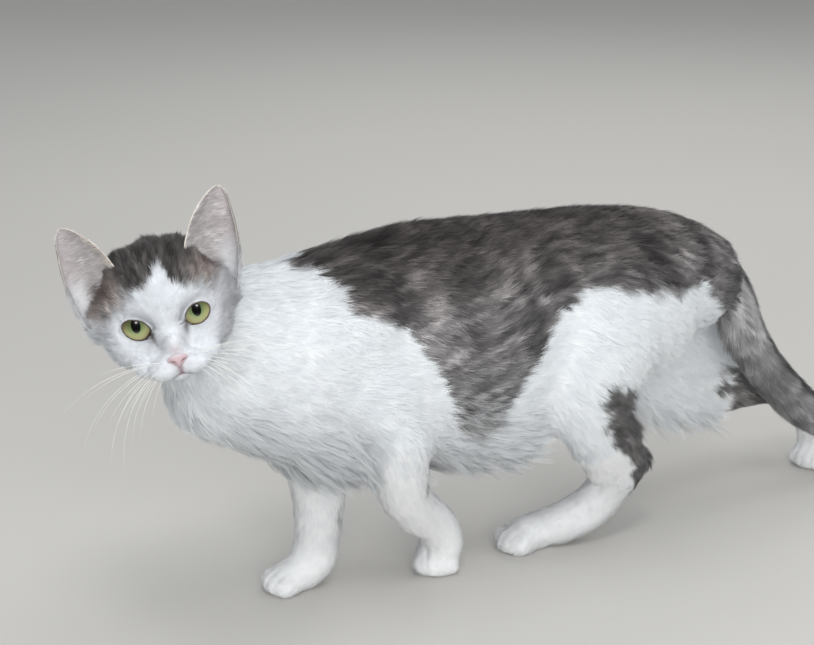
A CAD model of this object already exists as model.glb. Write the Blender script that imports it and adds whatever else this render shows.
"""A young grey-tabby-and-white cat, walking: one skin over its solids, its coat, eyes, nose and whiskers."""
import itertools
import math

import bmesh
import bpy
import numpy as np
from mathutils import Euler, Matrix, Quaternion, Vector
from mathutils.bvhtree import BVHTree
from mathutils.kdtree import KDTree


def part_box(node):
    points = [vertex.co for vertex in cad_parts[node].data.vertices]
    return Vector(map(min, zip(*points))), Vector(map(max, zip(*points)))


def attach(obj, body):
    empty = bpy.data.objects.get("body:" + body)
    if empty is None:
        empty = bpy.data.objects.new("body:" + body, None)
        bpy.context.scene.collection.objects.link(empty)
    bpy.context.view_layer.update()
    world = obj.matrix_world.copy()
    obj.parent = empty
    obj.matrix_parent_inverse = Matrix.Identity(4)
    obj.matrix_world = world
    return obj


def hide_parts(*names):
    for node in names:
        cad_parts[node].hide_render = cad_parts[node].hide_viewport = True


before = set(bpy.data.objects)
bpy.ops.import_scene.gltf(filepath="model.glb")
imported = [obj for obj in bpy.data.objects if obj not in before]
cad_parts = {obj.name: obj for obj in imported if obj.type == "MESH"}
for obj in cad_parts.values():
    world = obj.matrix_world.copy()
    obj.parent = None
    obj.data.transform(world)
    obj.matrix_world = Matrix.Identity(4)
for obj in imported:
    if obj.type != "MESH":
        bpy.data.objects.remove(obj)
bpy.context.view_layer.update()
for loaded in list(bpy.context.selected_objects):
    loaded.select_set(False)

# ---------------------------------------------------------------- the studio
# A plain pale floor in a pale room. A small lamp over the viewer puts the glint in the eyes, and three broad
# ones light the cat from above, from low in front and from behind. The camera looks down a little at the cat's
# left side, from ahead of its shoulder.


class Shade:
    """A socket of a material's nodes, so that shader maths reads as an expression."""

    def __init__(self, tree, socket):
        self.tree = tree
        self.socket = socket

    def node(self, kind, settings=None, **inputs):
        """Any node: its type, its settings, and the values or links of its sockets by name or number."""
        made = self.tree.nodes.new(kind)
        for name, value in (settings or {}).items():
            if name == "stops":
                while len(made.color_ramp.elements) < len(value):
                    made.color_ramp.elements.new(0.5)
                for stop, (place, colour) in zip(made.color_ramp.elements, value):
                    stop.position = place
                    stop.color = (*colour, 1)
            else:
                setattr(made, name, value)
        for name, value in inputs.items():
            key = int(name[1:]) if name[0] == "_" else name.replace("_", " ")
            if isinstance(value, Shade):
                self.tree.links.new(value.socket, made.inputs[key])
            else:
                made.inputs[key].default_value = value
        return made

    def out(self, kind, settings=None, output=0, **inputs):
        return Shade(self.tree, self.node(kind, settings, **inputs).outputs[output])

    def maths(self, operation, first, second=0.0):
        return self.out("ShaderNodeMath", {"operation": operation}, _0=first, _1=second)

    def __add__(self, other):
        return self.maths("ADD", self, other)

    def __radd__(self, other):
        return self.maths("ADD", other, self)

    def __sub__(self, other):
        return self.maths("SUBTRACT", self, other)

    def __rsub__(self, other):
        return self.maths("SUBTRACT", other, self)

    def __mul__(self, other):
        return self.maths("MULTIPLY", self, other)

    def __rmul__(self, other):
        return self.maths("MULTIPLY", other, self)

    def __truediv__(self, other):
        return self.maths("DIVIDE", self, other)

    def __pow__(self, other):
        return self.maths("POWER", self, other)

    def noise(self, scale, **settings):
        """Noise over the object's own axes."""
        place = self.out("ShaderNodeTexCoord", output=3)
        return self.out("ShaderNodeTexNoise", Vector=place, Scale=scale, **settings)

    def ramp(self, *stops):
        return self.out("ShaderNodeValToRGB", {"stops": stops}, _0=self)

    def step(self, low, high):
        return self.out("ShaderNodeMapRange", {"interpolation_type": "SMOOTHSTEP"}, _0=self, _1=low, _2=high)

    def tint(self, amount, colour):
        """This colour, turned by an amount towards another."""
        mix = self.node("ShaderNodeMix", {"data_type": "RGBA"}, _0=amount, _6=self, _7=colour)
        return Shade(self.tree, mix.outputs[2])


def new_material(name, roughness, **constants):
    """A Principled material, with the numbers that are the same all over it set on its own sockets."""
    material = bpy.data.materials.new(name)
    material.use_nodes = True
    shader = material.node_tree.nodes["Principled BSDF"]
    shader.inputs["Roughness"].default_value = roughness
    for socket, value in constants.items():
        shader.inputs[socket.replace("_", " ")].default_value = value
    return material, shader, Shade(material.node_tree, None)


def feed(shader, socket, shade):
    shade.tree.links.new(shade.socket, shader.inputs[socket])


bpy.ops.mesh.primitive_grid_add(x_subdivisions=8, y_subdivisions=8, size=60)
floor = bpy.context.object
floor.name = "floor"
floor_material, shader, nodes = new_material("floor_paint", 0.62)
cloud = nodes.noise(0.7, Detail=3.0)
feed(shader, "Base Color", cloud.ramp((0.3, (0.56, 0.545, 0.52)), (0.7, (0.60, 0.585, 0.56))))
floor.data.materials.append(floor_material)

room = bpy.data.worlds.new("room")
room.use_nodes = True
room.node_tree.nodes["Background"].inputs["Color"].default_value = (0.93, 0.97, 1.0, 1)
room.node_tree.nodes["Background"].inputs["Strength"].default_value = 0.47
bpy.context.scene.world = room
room.cycles_visibility.glossy = False

MIDDLE = Vector((-0.03, 0.0, 0.13))
for name, place, size, power, colour in (
    ("over_viewer", (-0.60, -0.90, 1.85), 0.55, 7.0, (1.0, 0.99, 0.97)),
    ("overhead", (0.00, -0.20, 2.10), 1.8, 15.5, (0.98, 0.99, 1.0)),
    ("low_front", (-1.00, -2.30, 0.95), 1.9, 38.5, (1.0, 1.0, 1.0)),
    ("over_back", (0.9, 1.1, 1.3), 1.2, 7.0, (1.0, 0.98, 0.95)),
):
    bpy.ops.object.light_add(type="AREA", location=place)
    lamp = bpy.context.object
    lamp.name = name
    lamp.data.shape = "DISK"
    lamp.data.size = size
    lamp.data.energy = power
    lamp.data.color = colour
    lamp.visible_glossy = name == "over_viewer"
    lamp.rotation_euler = (MIDDLE - Vector(place)).to_track_quat("-Z", "Y").to_euler()

CAMERA_PLACE = Vector((-0.6742, -1.0130, 0.5574))
CAMERA_LOOK = Vector((0.4765, 0.8231, -0.3090))
bpy.ops.object.camera_add(location=CAMERA_PLACE, rotation=CAMERA_LOOK.to_track_quat("-Z", "Y").to_euler())
camera = bpy.context.object
camera.data.sensor_fit = "HORIZONTAL"
camera.data.sensor_width = 36
camera.data.lens = 88.45
bpy.context.scene.camera = camera
bpy.context.scene.view_settings.view_transform = "Standard"

# ---------------------------------------------------------------- the skin
# One closed skin over the whole body, inside the solids by the depth of the coat. Trunk and limbs come from
# the solids. The head is built up again, finer, from its bony and fleshy masses, with its lids and lips.

TRUNK = ("neck", "chest", "abdomen", "rump", "thigh_left", "thigh_right")
HIND_LEGS = ("shank_left", "shank_right", "foot_left", "foot_right")
FORELEGS = ("foreleg_left", "foreleg_right", "paw_left", "paw_right")
LEGS = HIND_LEGS + FORELEGS
TAIL = ("tail_base", "tail_middle", "tail_tip")
FLESH = ("head", *TRUNK, *LEGS, *TAIL)
GRAIN = 0.0022


def middle_of(node):
    low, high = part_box(node)
    return (low + high) / 2


# The head's own axes, from its eyes and nose: X to its left, Y to its back, Z to its crown.
eye_middles = {side: middle_of("eye_" + word) for side, word in ((1, "left"), (-1, "right"))}
EYE_RADIUS = 0.0098
EYE_SET_BACK = 0.0012
between_eyes = (eye_middles[1] + eye_middles[-1]) / 2
head_x = (eye_middles[1] - eye_middles[-1]).normalized()
to_nose = (middle_of("nose") - between_eyes).normalized()
across_nose = head_x.cross(to_nose)
head_y = -0.7836 * to_nose + 0.6213 * across_nose
head_z = -0.6213 * to_nose - 0.7836 * across_nose
HEAD = Matrix((head_x, head_y, head_z)).transposed().to_4x4()
HEAD.translation = between_eyes - EYE_SET_BACK * head_y


def add_ball(place, radii, turn=(0, 0, 0), frame_of=Matrix.Identity(4)):
    """One mass: an ellipsoid with its place, radii and turn in degrees, in the head's axes."""
    bpy.ops.mesh.primitive_uv_sphere_add(segments=32, ring_count=16, radius=1)
    mass = bpy.context.object
    spin = Euler([math.radians(a) for a in turn]).to_matrix().to_4x4()
    mass.data.transform(frame_of @ Matrix.Translation(place) @ spin @ Matrix.Diagonal((*radii, 1)))
    return mass


def join(things, name):
    """Joins objects into the first and names it."""
    bpy.ops.object.select_all(action="DESELECT")
    for thing in things:
        thing.select_set(True)
    bpy.context.view_layer.objects.active = things[0]
    bpy.ops.object.join()
    things[0].name = name
    things[0].data.name = name
    return things[0]


def object_of(builder, name):
    """A new object made from a bmesh, with a mesh of the same name."""
    mesh = bpy.data.meshes.new(name)
    builder.to_mesh(mesh)
    builder.free()
    made = bpy.data.objects.new(name, mesh)
    bpy.context.collection.objects.link(made)
    return made


def shade_smooth(thing):
    for face in thing.data.polygons:
        face.use_smooth = True


def apply_modifier(thing, kind, **settings):
    modifier = thing.modifiers.new(kind.title(), kind)
    for key, value in settings.items():
        setattr(modifier, key, value)
    bpy.context.view_layer.objects.active = thing
    bpy.ops.object.modifier_apply(modifier=modifier.name)


masses = []
for name in FLESH[1:]:
    copy = bpy.data.objects.new("mass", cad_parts[name].data.copy())
    bpy.context.collection.objects.link(copy)
    builder = bmesh.new()
    builder.from_mesh(copy.data)
    bmesh.ops.remove_doubles(builder, verts=builder.verts, dist=0.00001)
    builder.normal_update()
    for vertex, normal in [(v, v.normal.copy()) for v in builder.verts]:
        vertex.co += 0.00025 * normal
    builder.to_mesh(copy.data)
    builder.free()
    masses.append(copy)

FACE_COAT = 0.0014
for place, radii, turn in (
    ((0, 0.022, 0.010), (0.0345, 0.040, 0.0335), (0, 0, 0)),
    ((0, 0.050, 0.000), (0.030, 0.026, 0.030), (0, 0, 0)),
    ((0, 0.0035, -0.006), (0.0150, 0.0190, 0.0190), (0, 0, 0)),
    ((0, -0.0100, -0.0150), (0.0085, 0.0155, 0.0085), (-28, 0, 0)),
    ((0, -0.0080, -0.0285), (0.0085, 0.0100, 0.0062), (0, 0, 0)),
    ((0.001, 0.0260, 0.0205), (0.0170, 0.0230, 0.0245), (0, 0, 0)),
):
    masses.append(add_ball(place, [r - FACE_COAT for r in radii], turn, HEAD))
for side in (-1, 1):
    for place, radii, turn in (
        ((0.0225, 0.0135, -0.0080), (0.0195, 0.0240, 0.0215), 0),
        ((0.0280, 0.0240, -0.0020), (0.0140, 0.0200, 0.0230), 0),
        ((0.0082, -0.0135, -0.0240), (0.0108, 0.0108, 0.0082), 12),
        ((0.0150, -0.0020, -0.0200), (0.0125, 0.0140, 0.0110), 20),
        ((0.0160, 0.0035, 0.0115), (0.0150, 0.0110, 0.0100), 14),
        ((0.0200, 0.0060, -0.0010), (0.0140, 0.0100, 0.0130), 16),
        ((0.0130, 0.0240, 0.0188), (0.0175, 0.0250, 0.0240), 0),
        ((0.0335, 0.0210, -0.0005), (0.0110, 0.0150, 0.0140), 0),
    ):
        spot = (side * place[0], place[1], place[2])
        masses.append(add_ball(spot, [r - FACE_COAT for r in radii], (0, 0, side * turn), HEAD))
skin = join(masses, "skin")
apply_modifier(skin, "REMESH", mode="VOXEL", voxel_size=GRAIN)


def points_of(thing):
    flat = np.empty(len(thing.data.vertices) * 3, np.float32)
    thing.data.vertices.foreach_get("co", flat)
    return flat.reshape(-1, 3).astype(float)


def normals_of(thing):
    flat = np.empty(len(thing.data.vertices) * 3, np.float32)
    thing.data.vertex_normals.foreach_get("vector", flat)
    return flat.reshape(-1, 3).astype(float)


def set_points(thing, points):
    thing.data.vertices.foreach_set("co", points.astype(np.float32).ravel())
    thing.data.update()


def ease(value, low, high):
    """0 below low and 1 above high, with a smooth rise between them."""
    t = np.clip((value - low) / (high - low), 0, 1)
    return t * t * (3 - 2 * t)


def bell(value, width):
    """1 where a value is 0, fading smoothly to 0 a width or two away."""
    return np.exp(-(value / width) ** 2)


def in_head(points):
    """Points in the head's own axes."""
    inverse = np.array(HEAD.inverted())
    return points @ inverse[:3, :3].T + inverse[:3, 3]


def from_head(points):
    matrix = np.array(HEAD)
    return points @ matrix[:3, :3].T + matrix[:3, 3]


# Only the outer shell is kept, and the face has twice the detail of the body.
builder = bmesh.new()
builder.from_mesh(skin.data)
builder.verts.ensure_lookup_table()
seen = np.zeros(len(builder.verts), bool)
shells = []
for start in builder.verts:
    if seen[start.index]:
        continue
    seen[start.index] = True
    shell = [start]
    for vertex in shell:
        for edge in vertex.link_edges:
            other = edge.other_vert(vertex)
            if not seen[other.index]:
                seen[other.index] = True
                shell.append(other)
    shells.append(shell)
shells.sort(key=len)
bmesh.ops.delete(builder, geom=[vertex for shell in shells[:-1] for vertex in shell], context="VERTS")
head_inverse = HEAD.inverted()


def fine_place(face):
    """Whether a face of the skin is on the front of the head or low on a paw."""
    middle = face.calc_center_median()
    spot = head_inverse @ middle
    return middle.z < 0.021 or (spot.y < 0.008 and abs(spot.x) < 0.034 and -0.040 < spot.z < 0.022)


inner = {edge for face in builder.faces if fine_place(face) for edge in face.edges}
bmesh.ops.subdivide_edges(builder, edges=list(inner), cuts=1, use_grid_fill=True)
bmesh.ops.triangulate(builder, faces=[face for face in builder.faces if len(face.verts) > 4])
builder.to_mesh(skin.data)
builder.free()

# How deep the coat is on each part of the body, in millimetres.
COAT_DEPTH = {
    "head": 0.0, "neck": 2.6, "chest": 3.0, "abdomen": 3.0, "rump": 2.6,
    "thigh_left": 2.5, "thigh_right": 2.6, "shank_left": 1.5, "shank_right": 1.6,
    "foot_left": 0.3, "foot_right": 0.5,
    "foreleg_left": 1.2, "foreleg_right": 1.2, "paw_left": 0.5, "paw_right": 0.5,
    "tail_base": 2.4, "tail_middle": 2.4, "tail_tip": 2.0,
}
solid_points = []
solid_faces = []
solid_label = []
for label, name in enumerate(FLESH):
    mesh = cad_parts[name].data
    base = len(solid_points)
    solid_points.extend(v.co.copy() for v in mesh.vertices)
    solid_faces.extend([base + k for k in face.vertices] for face in mesh.polygons)
    solid_label.extend([label] * len(mesh.polygons))
solids = BVHTree.FromPolygons(solid_points, solid_faces)


def label_of(points):
    """Which part of the body each point is on."""
    return np.array([solid_label[solids.find_nearest(Vector(point))[2]] for point in points])


def edges_of(thing):
    flat = np.empty(len(thing.data.edges) * 2, np.int32)
    thing.data.edges.foreach_get("vertices", flat)
    return flat.reshape(-1, 2)


def neighbour_mean(columns, edges):
    """The mean of each point's neighbours along the mesh's edges, column by column."""
    size = len(columns)
    count = np.maximum(np.bincount(edges.ravel(), minlength=size), 1).astype(float)
    first, second = edges.T
    total = np.stack([
        np.bincount(first, values[second], size) + np.bincount(second, values[first], size)
        for values in columns.T
    ], 1)
    return total / count[:, None]


def spread(values, edges, rounds, keep=None):
    """Evens out values over the mesh by passing each point's value to its neighbours."""
    values = np.array(values, float)
    columns = values.reshape(len(values), -1)
    weight = 0.5 if keep is None else 0.5 * (1 - keep[:, None])
    for _ in range(rounds):
        columns = columns * (1 - weight) + neighbour_mean(columns, edges) * weight
    return columns.reshape(values.shape)


def relax(points, edges, rounds, keep):
    """Smooths a surface without shrinking it: each round draws it in and lets it out again."""
    for step in (0.5, -0.52) * rounds:
        points = points + (neighbour_mean(points, edges) - points) * (step * (1 - keep))[:, None]
    return points


points = points_of(skin)
edges = edges_of(skin)
label = label_of(points)
head_label = FLESH.index("head")
paw_labels = [FLESH.index(name) for name in ("paw_left", "paw_right", "foot_left", "foot_right")]
head_points = in_head(points)
fine = np.where(label == head_label, 1.0, 0.0) * ease(-head_points[:, 1], -0.040, -0.020)
fine = np.maximum(fine, np.where(np.isin(label, paw_labels), 0.25, 0.0) * ease(-points[:, 2], -0.030, -0.018))
points = relax(points, edges, 40, fine * 0.90)
set_points(skin, points)
depth = spread(np.array([COAT_DEPTH[FLESH[k]] for k in label]) / 1000, edges, 14)
points = points - normals_of(skin) * depth[:, None]
points = relax(points, edges, 8, fine * 0.9)

# Each paw is rounded like a mitten, before its toes are marked.
paw = np.isin(label, paw_labels) * (1 - ease(points[:, 2], 0.014, 0.024))
paw = spread(paw, edges, 6)
points = spread(points, edges, 20, keep=1 - paw)
set_points(skin, points)
swollen = spread(np.where(label == FLESH.index("foot_left"), 0.0014, 0.0010), edges, 6)
points = points + normals_of(skin) * (swollen * paw)[:, None]
points[:, 2] = np.maximum(points[:, 2], 0.0004)

# Low on the cheeks the ruff is deep, and the jaw under it is narrow.
head_points = in_head(points)
side_of_jaw = ease(np.abs(head_points[:, 0]), 0.013, 0.032) * ease(-head_points[:, 2], -0.010, 0.012)
side_of_jaw = side_of_jaw * ease(head_points[:, 1], -0.014, 0.004)
side_of_jaw = side_of_jaw * (1 - ease(head_points[:, 1], 0.024, 0.046))
side_of_jaw = side_of_jaw * (np.abs(head_points[:, 0]) < 0.060) * (1 - ease(-head_points[:, 2], 0.026, 0.040))
head_points[:, 0] -= np.sign(head_points[:, 0]) * 0.0070 * side_of_jaw
head_points[:, 2] += 0.0020 * side_of_jaw
points = from_head(head_points)

# The toes: grooves between them over the front of each paw, and a crease behind their knuckles.
START = np.array((-0.1580, 0.0137, -0.00125))
TOE_PITCH = 0.0066
PAWS = (
    ((0.0985, -0.002), 62.0, 0.030), ((0.0065, 0.0195), 4.0, 0.040),
    ((0.1725, -0.001), 4.0, 0.044), ((0.4360, 0.0155), 14.0, 0.033),
)
toe_shade = np.zeros(len(points))
set_points(skin, points)
facing = normals_of(skin)
for (paw_x, paw_y), heading, paw_length in PAWS:
    turn = math.radians(heading)
    away = points[:, :2] - (START[:2] + np.array((paw_x, paw_y)))
    ahead = away[:, 0] * math.cos(turn) + away[:, 1] * math.sin(turn)
    beside = -away[:, 0] * math.sin(turn) + away[:, 1] * math.cos(turn)
    here = (np.abs(away).max(1) < 0.04) & (points[:, 2] < 0.022)
    tip = ahead + 0.5 * paw_length
    on_toes = (1 - ease(tip, 0.007, 0.0125)) * ease(points[:, 2], 0.001, 0.004) * here
    between = bell(((beside / TOE_PITCH + 0.5) % 1.0 - 0.5) * TOE_PITCH, 0.0012) * (np.abs(beside) < 0.0085)
    crease = bell(tip - 0.0140, 0.0017) * ease(points[:, 2], 0.009, 0.013) * here
    points = points - facing * (0.0005 * between * on_toes + 0.0004 * crease)[:, None]
    toe_shade = np.maximum(toe_shade, between * on_toes)

# Round each eye the skin lies on the ball as lids, and inside the almond it goes behind it.
LIDS = {-1: (0.0168, 0.0108, math.radians(33.0)), 1: (0.0152, 0.0110, math.radians(21.0))}
LID_THICKNESS = 0.0006
LID_CURVE = 1.85
EYE_ASIDE = (eye_middles[1] - eye_middles[-1]).length / 2


def almond(local, side):
    """How far out of the opening of an eye a point of the face is: 1 on the edge of the lids."""
    wide, high, slant = LIDS[side]
    x = side * local[:, 0] - EYE_ASIDE
    z = local[:, 2]
    along = np.abs(x * math.cos(slant) + z * math.sin(slant)) / (wide / 2)
    up = np.abs(-x * math.sin(slant) + z * math.cos(slant)) / (high / 2)
    return (along ** LID_CURVE + up ** LID_CURVE) ** (1 / LID_CURVE)


head_points = in_head(points)
for side in (-1, 1):
    centre = np.array((side * EYE_ASIDE, EYE_SET_BACK, 0.0))
    out = almond(head_points, side)
    near = (head_points[:, 1] < 0.004) & (out < 2.0) & (np.abs(head_points[:, 0] - centre[0]) < 0.016)
    flat = (head_points[:, 0] - centre[0]) ** 2 + (head_points[:, 2] - centre[2]) ** 2
    lid = EYE_RADIUS + LID_THICKNESS
    on_ball = centre[1] - np.sqrt(np.clip(lid ** 2 - flat, 0, None))
    behind = centre[1] - np.sqrt(np.clip((EYE_RADIUS - 0.003) ** 2 - flat, 0, None))
    lay = 1 - ease(out, 1.0, 1.9)
    lay = np.where(flat < (0.97 * lid) ** 2, lay, 0)
    target = np.where(out < 0.93, behind, head_points[:, 1] * (1 - lay) + on_ball * lay)
    head_points[:, 1] = np.where(near, target, head_points[:, 1])

# The mouth: a groove down from the nose, and the line of the lips curving away to each side of it.
LIP_WIDTH = 0.0100


def lip_line(x):
    """The height of the closed lips at a place across the muzzle."""
    reach = np.clip(np.abs(x) / LIP_WIDTH, 0, 1)
    return -0.0280 - 0.0026 * np.sin(0.5 * math.pi * reach)


def mouth_groove(local):
    """1 in the groove of the mouth, and 0 away from it."""
    front = local[:, 1] < -0.006
    line = bell(local[:, 2] - lip_line(local[:, 0]), 0.0007)
    line = line * (1 - ease(np.abs(local[:, 0]), 0.40 * LIP_WIDTH, LIP_WIDTH))
    philtrum = 0.8 * bell(local[:, 0], 0.0009) * (local[:, 2] < -0.0205) * (local[:, 2] > -0.0284)
    return np.maximum(line, philtrum) * front


round_eye = np.minimum(almond(head_points, -1), almond(head_points, 1))
by_lids = (round_eye > 1.40) & (round_eye < 3.0) & (head_points[:, 1] < 0.010) & (label == head_label)
head_points = spread(head_points, edges, 14, keep=np.where(by_lids, 0.0, 1.0))
head_points[:, 1] += 0.0012 * mouth_groove(head_points)
points = np.where((label == head_label)[:, None], from_head(head_points), points)
set_points(skin, points)

# The ears: thin shells open to the front, rooted in the head, with the skin running over both sides of them.
EAR_INNER = Vector((0.0165, 0.008, 0.0260))
EAR_INNER_BEND = Vector((0.0250, 0.010, 0.0570))
EAR_OUTER = Vector((0.0426, 0.014, 0.0045))
EAR_OUTER_BEND = Vector((0.0543, 0.012, 0.0370))
EAR_TIP = Vector((0.0462, 0.018, 0.0632))
EAR_LEAN = 0.0024
EAR_CUP = 0.0160
EAR_ROUNDING = 0.74
EAR_ROWS = 34
EAR_COLUMNS = 22


def along_arc(start, control, end, t):
    return start * (1 - t) ** 2 + control * (2 * t * (1 - t)) + end * t ** 2


def ear_spot(side, up, round_, inset):
    """A point of an ear in the head's axes: up it, round its cup from the inner edge (0) to the outer (1)."""
    straight = min(up, EAR_ROUNDING)
    near = along_arc(EAR_INNER, EAR_INNER_BEND, EAR_TIP + Vector((-0.0016, 0, 0)), straight)
    far = along_arc(EAR_OUTER, EAR_OUTER_BEND, EAR_TIP + Vector((0.0010, 0, -0.0010)), straight)
    if up > EAR_ROUNDING:
        rest = (up - EAR_ROUNDING) / (1 - EAR_ROUNDING)
        middle = ((near + far) / 2).lerp(EAR_TIP, rest)
        half = (far - near) / 2 * max(math.sqrt(1 - rest ** 2) * (1 - 0.42 * rest), 0.06)
        near, far = middle - half, middle + half
    across = far - near
    back = Vector((0.35, 1, -0.15)).normalized()
    depth = EAR_CUP * (1 - up) ** 0.75 + 0.0013
    narrow = 1 - 0.8 * inset / max(across.length, 0.004)
    turn = math.pi * (round_ - 0.5)
    spot = (near + far) / 2 + across * (0.5 * narrow * math.sin(turn))
    spot = spot + back * ((depth - inset) * math.cos(turn))
    return Vector((side * spot.x + EAR_LEAN * up, spot.y, spot.z))


ears = []
for side, word in ((1, "left"), (-1, "right")):
    builder = bmesh.new()
    shells = []
    for inset in (0.0002, 0.0011):
        shells.append([
            [builder.verts.new(HEAD @ ear_spot(side, (i / EAR_ROWS) ** 0.9, j / EAR_COLUMNS, inset))
             for j in range(EAR_COLUMNS + 1)] for i in range(EAR_ROWS + 1)
        ])
    outer, inner = shells
    for shell in shells:
        for i in range(EAR_ROWS):
            for j in range(EAR_COLUMNS):
                builder.faces.new((shell[i][j], shell[i][j + 1], shell[i + 1][j + 1], shell[i + 1][j]))
    for i in range(EAR_ROWS):
        for j in (0, EAR_COLUMNS):
            builder.faces.new((outer[i][j], outer[i + 1][j], inner[i + 1][j], inner[i][j]))
    for j in range(EAR_COLUMNS):
        for i in (0, EAR_ROWS):
            builder.faces.new((outer[i][j], outer[i][j + 1], inner[i][j + 1], inner[i][j]))
    bmesh.ops.recalc_face_normals(builder, faces=builder.faces)
    ears.append(object_of(builder, "ear"))
body_count = len(skin.data.vertices)
skin = join([skin, *ears], "skin")
shade_smooth(skin)

# The skin's own unwrap, which the coat's tufts take their places from.
bpy.ops.object.select_all(action="DESELECT")
skin.select_set(True)
bpy.context.view_layer.objects.active = skin
bpy.ops.object.mode_set(mode="EDIT")
bpy.ops.mesh.select_all(action="SELECT")
bpy.ops.mesh.quads_convert_to_tris()
bpy.ops.uv.smart_project(angle_limit=math.radians(66), island_margin=0.002)
bpy.ops.object.mode_set(mode="OBJECT")
skin.data.uv_layers.active.name = "OFBake"

# ---------------------------------------------------------------- the markings
# White, with a grey tabby saddle, tail and cap and dark patches at the hocks. One rule colours skin and coat.
# Heights and lengths are from the floor beside the right fore paw, and on the head from between the eyes.


def hashed(cell, seed):
    """A steady random number for each cell of a grid."""
    mixed = cell[:, 0] * 73856093 ^ cell[:, 1] * 19349663 ^ cell[:, 2] * 83492791 ^ seed * 26544357
    mixed = (mixed ^ (mixed >> 13)) * 1274126177 & 0xFFFFFFFF
    return ((mixed ^ (mixed >> 15)) & 0xFFFF) / 65535.0


def mottle(points, size, seed):
    """Smooth noise from 0 to 1, with blotches of a size along each axis."""
    scaled = points / np.array(size)
    cell = np.floor(scaled).astype(np.int64)
    part = scaled - cell
    part = part * part * (3 - 2 * part)
    total = np.zeros(len(points))
    for corner in itertools.product((0, 1), repeat=3):
        weight = np.prod(np.where(corner, part, 1 - part), axis=1)
        total += weight * hashed(cell + np.array(corner), seed)
    return total


WHITE = np.array((0.884, 0.914, 0.940))
FACE_WHITE = np.array((0.76, 0.785, 0.82))
GREY = np.array((1.0, 0.965, 0.955))
BROWN = np.array((1.0, 0.88, 0.82))

LEG_WHITE = np.array((0.945, 0.955, 0.965))

# The saddle's lower edge on the side, as length along the body and height.
SADDLE = np.array((
    (-0.04, 0.27), (-0.028, 0.25), (-0.019, 0.231), (-0.008, 0.2265), (0.006, 0.225), (0.012, 0.21),
    (0.02, 0.201), (0.0365, 0.1915), (0.055, 0.1825), (0.065, 0.1665), (0.081, 0.1465), (0.087, 0.127),
    (0.096, 0.109), (0.11, 0.101), (0.121, 0.108), (0.13, 0.129), (0.152, 0.164), (0.181, 0.185),
    (0.192, 0.1875), (0.206, 0.1895), (0.218, 0.183), (0.248, 0.18), (0.285, 0.174), (0.3, 0.162),
    (0.33, 0.13),
))
# The lower edge of the cap on the forehead and the sides of the face: across, and height above the eyes.
CAP = np.array((
    (-0.052, 0.04), (-0.042, 0.03), (-0.0385, 0.007), (-0.033, 0.0078), (-0.0265, 0.013),
    (-0.017, 0.0182), (-0.006, 0.0223), (-0.002, 0.0262), (0.0036, 0.033), (0.0062, 0.0262),
    (0.0088, 0.02), (0.019, 0.0154), (0.029, 0.0128), (0.0335, 0.015), (0.038, 0.026), (0.052, 0.045),
))
# The front edge of the dark patch behind the left hock: height, and length along the body.
HOCK = np.array((
    (0.036, 0.236), (0.05, 0.231), (0.069, 0.222), (0.084, 0.203), (0.1, 0.194), (0.113, 0.192),
    (0.129, 0.19), (0.137, 0.213),
))
# How bright the grey of the trunk is, from the belly (0) to the top of the back (1).
GREY_TONE = np.array(((0, 0.44), (0.15, 0.26), (0.34, 0.165), (0.67, 0.135), (0.85, 0.082), (1.0, 0.038)))
# The dark flecks inside the wrists: the middle and the size of each, and its noise's seed.
WRIST_FLECKS = (((0.0716, -0.0361, 0.0748), 0.0060, 41), ((0.0329, 0.0082, 0.0490), 0.0070, 42))


def towards(colour, target, amount):
    """A colour at each place, turned by an amount there towards another."""
    return colour + (np.array(target) - colour) * amount[:, None]


def distance(points, spot):
    return np.linalg.norm(points - np.array(spot), axis=1)


# The lie of the coat, which rises from the ribs to the flank and falls over the rump: length, and height.
LIE = np.array(((-0.04, -0.018), (0.06, 0), (0.15, 0.038), (0.21, 0.042), (0.3, 0.006), (0.45, -0.09)))


def along_body(points):
    """Places along, across and above the lie of the coat."""
    return np.stack([points[:, 0], points[:, 1], points[:, 2] - np.interp(points[:, 0], *LIE.T)], 1)


# Each ear's opening: the side, and its two ends in the head's axes.
EAR_OPENINGS = (
    (-1, (-0.0322, 0.0215, 0.0250), (-0.0285, 0.0060, 0.0222)),
    (1, (0.0282, 0.0125, 0.0270), (0.0350, 0.0220, 0.0205)),
)


def hollow_of_ear(local):
    """1 in the opening at the bottom of an ear, and 0 away from it."""
    hollow = np.zeros(len(local))
    for side, start, end in EAR_OPENINGS:
        start, end = np.array(start), np.array(end)
        t = np.clip((local - start) @ (end - start) / np.sum((end - start) ** 2), 0, 1)
        away = np.linalg.norm(local - start - t[:, None] * (end - start), axis=1)
        hollow = np.maximum(hollow, np.exp(-(away / 0.0040) ** 3))
    return hollow


def whisker_root(side, row, column):
    """Where a whisker leaves the muzzle: four rows down it, by four columns towards the cheek."""
    return (side * (0.0098 + 0.0026 * column), -0.0205 + 0.0036 * column, -0.0195 - 0.0024 * row)


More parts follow.
